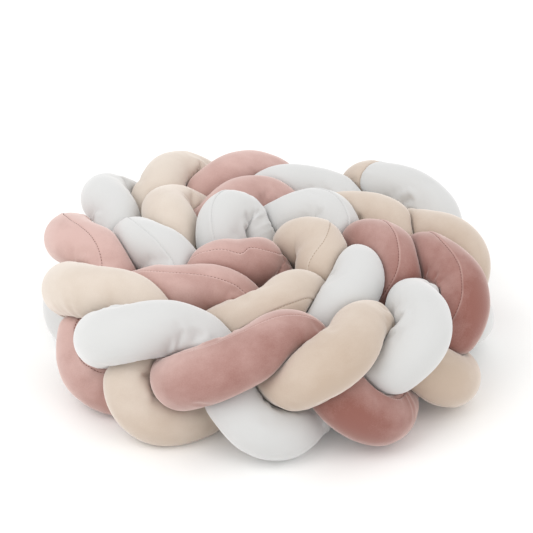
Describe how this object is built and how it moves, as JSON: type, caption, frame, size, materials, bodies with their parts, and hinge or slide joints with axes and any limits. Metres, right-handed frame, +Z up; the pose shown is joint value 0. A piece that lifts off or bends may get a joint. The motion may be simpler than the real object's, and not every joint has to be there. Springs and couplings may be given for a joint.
{
  "type": "braided crib bumper",
  "caption": "Braided crib bumper: thick stuffed velvet tubes in white, cream and dusty rose, plaited and wound on edge into a flat coil.",
  "frame": {"origin": "under the middle of the coil's outline, on the surface that it rests on", "axes": "+Z up from the surface; -Y towards the side the picture is taken from; +X to that viewer's right"},
  "size_m": [0.5586, 0.5696, 0.19],
  "materials": {
    "white_velvet": "short-pile velvet, soft sheen",
    "cream_velvet": "short-pile velvet, soft sheen",
    "rose_velvet": "short-pile velvet, soft sheen"
  },
  "bodies": {
    "root": {"strand_white": "white_velvet", "strand_cream": "cream_velvet", "strand_rose": "rose_velvet"}
  },
  "joints": []
}
